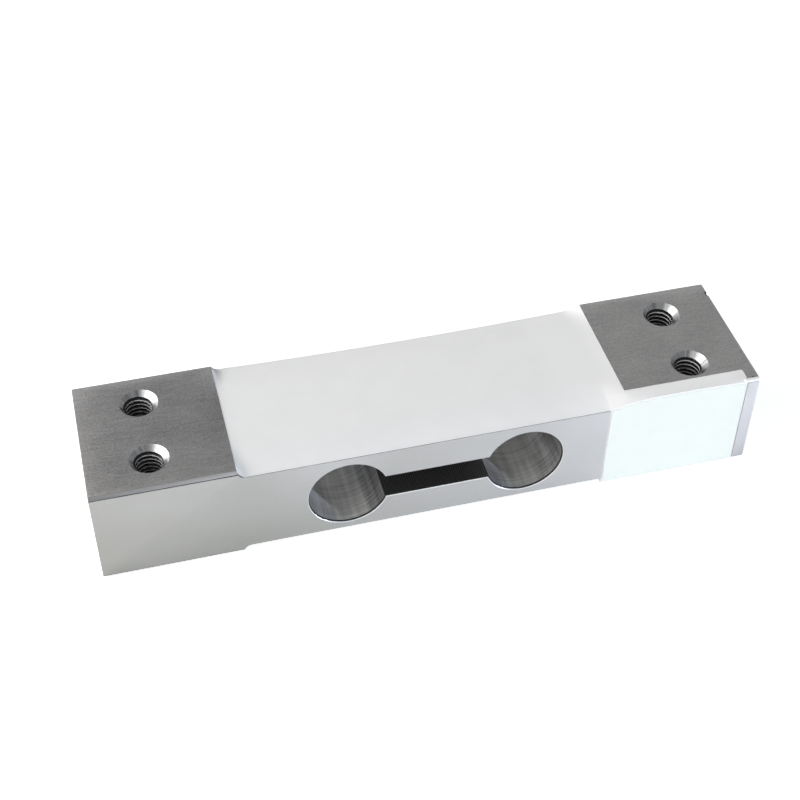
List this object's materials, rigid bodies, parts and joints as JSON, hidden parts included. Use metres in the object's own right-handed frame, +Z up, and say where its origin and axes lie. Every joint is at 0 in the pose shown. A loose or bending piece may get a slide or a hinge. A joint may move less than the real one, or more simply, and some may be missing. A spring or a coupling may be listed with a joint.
{
  "type": "single point load cell",
  "caption": "Parallel-beam load cell: a rectangular metal beam with joined bores, recessed and potted gauge faces, a labelled side pocket and tapped end pads.",
  "frame": {"origin": "centre of the resting face, under the beam's middle", "axes": "+X along the beam to the end with the side pocket, -Y out of the labelled front face, +Z up through the loaded face"},
  "size_m": [0.13, 0.03, 0.022],
  "materials": {
    "machined_aluminium": "milled and brushed",
    "white_silicone": "matte, poured",
    "label_film": "matte film",
    "board_laminate": "solder mask",
    "solder": "tinned",
    "resistor_body": "lacquered",
    "black_rubber": "moulded",
    "gauge_foil": "polyimide with foil",
    "terminal_strip": "laminate with tinned pads",
    "enamelled_lead": "enamelled copper"
  },
  "bodies": {
    "root": {"beam": "machined_aluminium", "top_potting": "white_silicone", "bottom_potting": "white_silicone", "side_potting": "white_silicone", "name_label": "label_film", "compensation_board": "board_laminate", "board_solder_joints": "solder", "span_resistor_upper": "resistor_body", "span_resistor_lower": "resistor_body", "zero_trim_resistor": "resistor_body", "zero_temperature_resistor": "resistor_body", "cable_seal": "black_rubber", "strain_gauge_top_left": "gauge_foil", "gauge_terminal_top_left": "terminal_strip", "gauge_leads_top_left": "enamelled_lead", "strain_gauge_top_right": "gauge_foil", "gauge_terminal_top_right": "terminal_strip", "gauge_leads_top_right": "enamelled_lead", "strain_gauge_bottom_left": "gauge_foil", "gauge_terminal_bottom_left": "terminal_strip", "gauge_leads_bottom_left": "enamelled_lead", "strain_gauge_bottom_right": "gauge_foil", "gauge_terminal_bottom_right": "terminal_strip", "gauge_leads_bottom_right": "enamelled_lead"}
  },
  "joints": []
}
